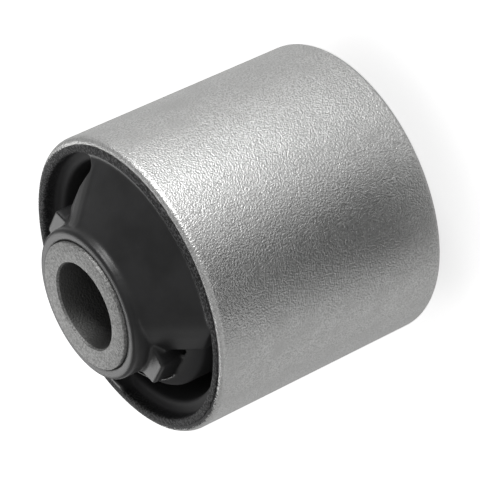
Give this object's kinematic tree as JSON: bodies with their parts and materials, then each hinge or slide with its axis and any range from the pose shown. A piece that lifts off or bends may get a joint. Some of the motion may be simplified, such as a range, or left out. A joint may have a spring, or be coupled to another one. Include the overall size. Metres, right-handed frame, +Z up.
{
  "type": "rubber metal bush",
  "caption": "Rubber-metal suspension bush: a steel sleeve bonded by a voided rubber moulding to a bolted inner tube.",
  "frame": {"origin": "centre of the inner tube's lower end face, where the bush stands", "axes": "+Z up along the bore, towards the end with the two lugs; X through the two lugs; the wide arm of the moulding towards -Y and the slim arm towards +Y"},
  "size_m": [0.05, 0.05, 0.06],
  "materials": {
    "sleeve_steel": "bare steel, blasted to a fine pebbled satin",
    "rubber": "moulded, satin black with a slight sheen",
    "tube_steel": "turned face, matt and finely grained"
  },
  "bodies": {
    "root": {"outer_sleeve": "sleeve_steel", "rubber_body": "rubber", "inner_tube": "tube_steel"}
  },
  "joints": []
}
